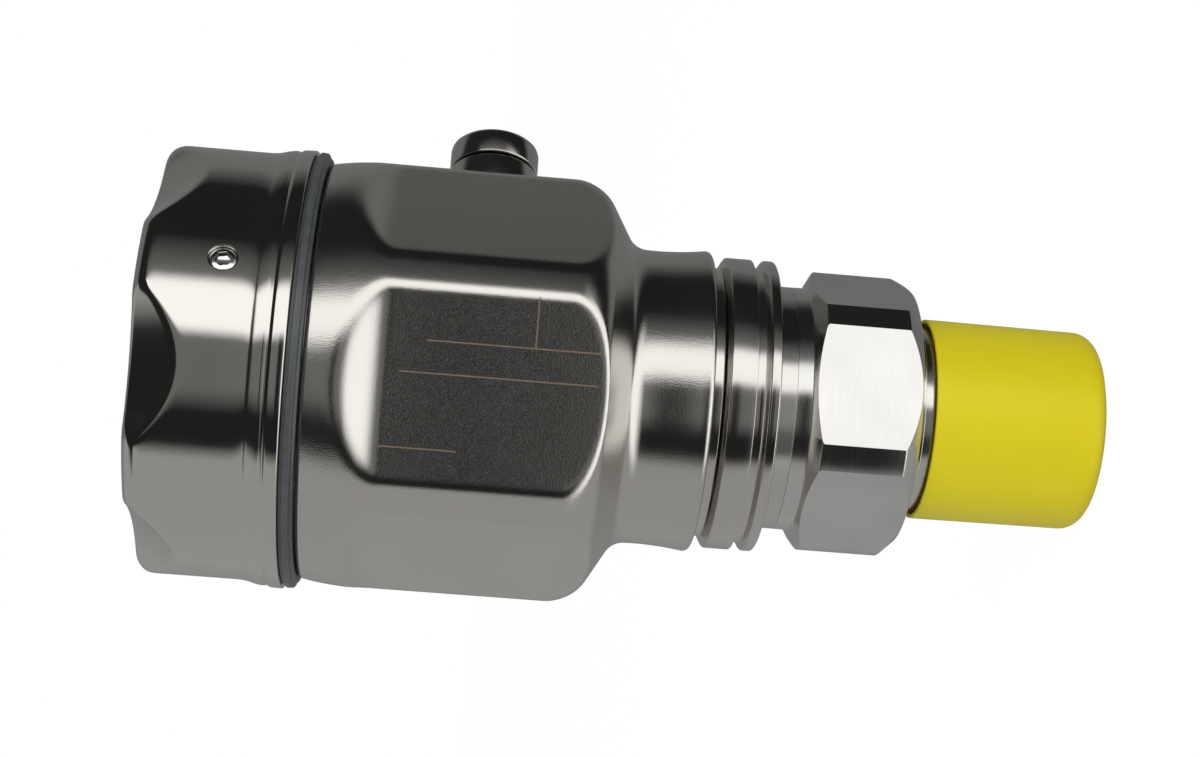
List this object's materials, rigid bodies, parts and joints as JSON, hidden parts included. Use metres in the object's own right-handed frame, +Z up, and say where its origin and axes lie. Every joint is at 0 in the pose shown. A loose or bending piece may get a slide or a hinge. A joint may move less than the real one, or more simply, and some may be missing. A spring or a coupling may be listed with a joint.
{
  "type": "pressure transmitter",
  "caption": "Upright pressure transmitter: stainless steel housing with flats, scooped screw cover, hexagon, threaded process end under a yellow cap, vent and cable gland.",
  "frame": {"origin": "on the main axis, in the sealing face under the hexagon, where the collar of the threaded end starts", "axes": "+Z up the axis from the threaded end to the screw cover, -Y the front with the plate flat, +Y the back with the cable gland"},
  "size_m": [0.0844, 0.0973, 0.1638],
  "materials": {
    "steel": "fine satin",
    "polished_steel": "polished",
    "black_rubber": "matte",
    "yellow_cap": "matte",
    "black_plastic": "matte",
    "grey_plastic": "matte",
    "green_plastic": "matte",
    "white_plastic": "matte",
    "board_green": "satin",
    "light": "clear",
    "filter": "matte",
    "plated_steel": "plated",
    "cable": "matte"
  },
  "bodies": {
    "process_side": {"process_connection": "steel", "sensor_neck": "steel", "neck_o_ring": "black_rubber", "isolating_membrane": "polished_steel", "measuring_cell": "steel", "cell_leads": "cable", "sensor_module": "black_plastic", "sensor_cable": "cable"},
    "housing": {"housing": "steel", "mouth_collar": "steel", "neck_set_screw": "polished_steel", "electronics_insert": "black_plastic", "insert_screws": "plated_steel", "circuit_board": "board_green", "switch_block": "grey_plastic", "status_light": "light", "terminal_block": "green_plastic", "terminal_screws": "plated_steel", "ground_washer": "plated_steel", "ground_screw": "plated_steel", "gland_socket": "steel", "gland_ring": "black_rubber", "gland_body": "steel", "vent_nozzle": "steel", "vent_ring": "black_rubber", "vent_filter": "filter", "vent_cap": "steel"},
    "cover_seal": {"cover_seal": "black_rubber"},
    "cover": {"cover": "polished_steel", "cover_lock_screw": "polished_steel"},
    "gland_sleeve": {"gland_sleeve": "black_rubber"},
    "gland_nut": {"gland_nut": "steel"},
    "protective_cap": {"protective_cap": "yellow_cap"},
    "zero_button": {"zero_button": "grey_plastic"},
    "span_button": {"span_button": "grey_plastic"},
    "switch_slider_1": {"switch_slider_1": "white_plastic"},
    "switch_slider_2": {"switch_slider_2": "white_plastic"},
    "switch_slider_3": {"switch_slider_3": "white_plastic"},
    "switch_slider_4": {"switch_slider_4": "white_plastic"},
    "switch_slider_5": {"switch_slider_5": "white_plastic"}
  },
  "joints": [
    {"name": "housing_turn", "type": "hinge", "parent": "process_side", "child": "housing", "pos_m": [0, 0, 0.04], "axis": [0, 0, 1], "range_deg": [-190, 190]},
    {"name": "cover_lift", "type": "slide", "parent": "housing", "child": "cover_seal", "axis": [0, 0, 1], "range_m": [0, 0.0121]},
    {"name": "cover_turn", "type": "hinge", "parent": "cover_seal", "child": "cover", "pos_m": [0, 0, 0.12], "axis": [0, 0, 1], "range_deg": [0, 2160]},
    {"name": "gland_press", "type": "slide", "parent": "housing", "child": "gland_sleeve", "axis": [0, 1, 0], "range_m": [0, 0.0061]},
    {"name": "gland_nut_turn", "type": "hinge", "parent": "gland_sleeve", "child": "gland_nut", "pos_m": [0, 0.05, 0.0759], "axis": [0, 1, 0], "range_deg": [0, 1440]},
    {"name": "cap_pull", "type": "slide", "parent": "process_side", "child": "protective_cap", "axis": [0, 0, -1], "range_m": [0, 0.034]},
    {"name": "zero_button_press", "type": "slide", "parent": "housing", "child": "zero_button", "axis": [0, 0, -1], "range_m": [0, 0.001], "stiffness_N_per_m": 500, "springref_m": -0.001},
    {"name": "span_button_press", "type": "slide", "parent": "housing", "child": "span_button", "axis": [0, 0, -1], "range_m": [0, 0.001], "stiffness_N_per_m": 500, "springref_m": -0.001},
    {"name": "switch_slider_1_slide", "type": "slide", "parent": "housing", "child": "switch_slider_1", "axis": [0, 1, 0], "range_m": [0, 0.0018]},
    {"name": "switch_slider_2_slide", "type": "slide", "parent": "housing", "child": "switch_slider_2", "axis": [0, 1, 0], "range_m": [0, 0.0018]},
    {"name": "switch_slider_3_slide", "type": "slide", "parent": "housing", "child": "switch_slider_3", "axis": [0, 1, 0], "range_m": [0, 0.0018]},
    {"name": "switch_slider_4_slide", "type": "slide", "parent": "housing", "child": "switch_slider_4", "axis": [0, 1, 0], "range_m": [0, 0.0018]},
    {"name": "switch_slider_5_slide", "type": "slide", "parent": "housing", "child": "switch_slider_5", "axis": [0, 1, 0], "range_m": [0, 0.0018]}
  ],
  "couplings": [
    {"joint": "cover_lift", "follows": "cover_turn", "m_per_rad": 0.00031831},
    {"joint": "gland_press", "follows": "gland_nut_turn", "m_per_rad": 0.00023873}
  ]
}
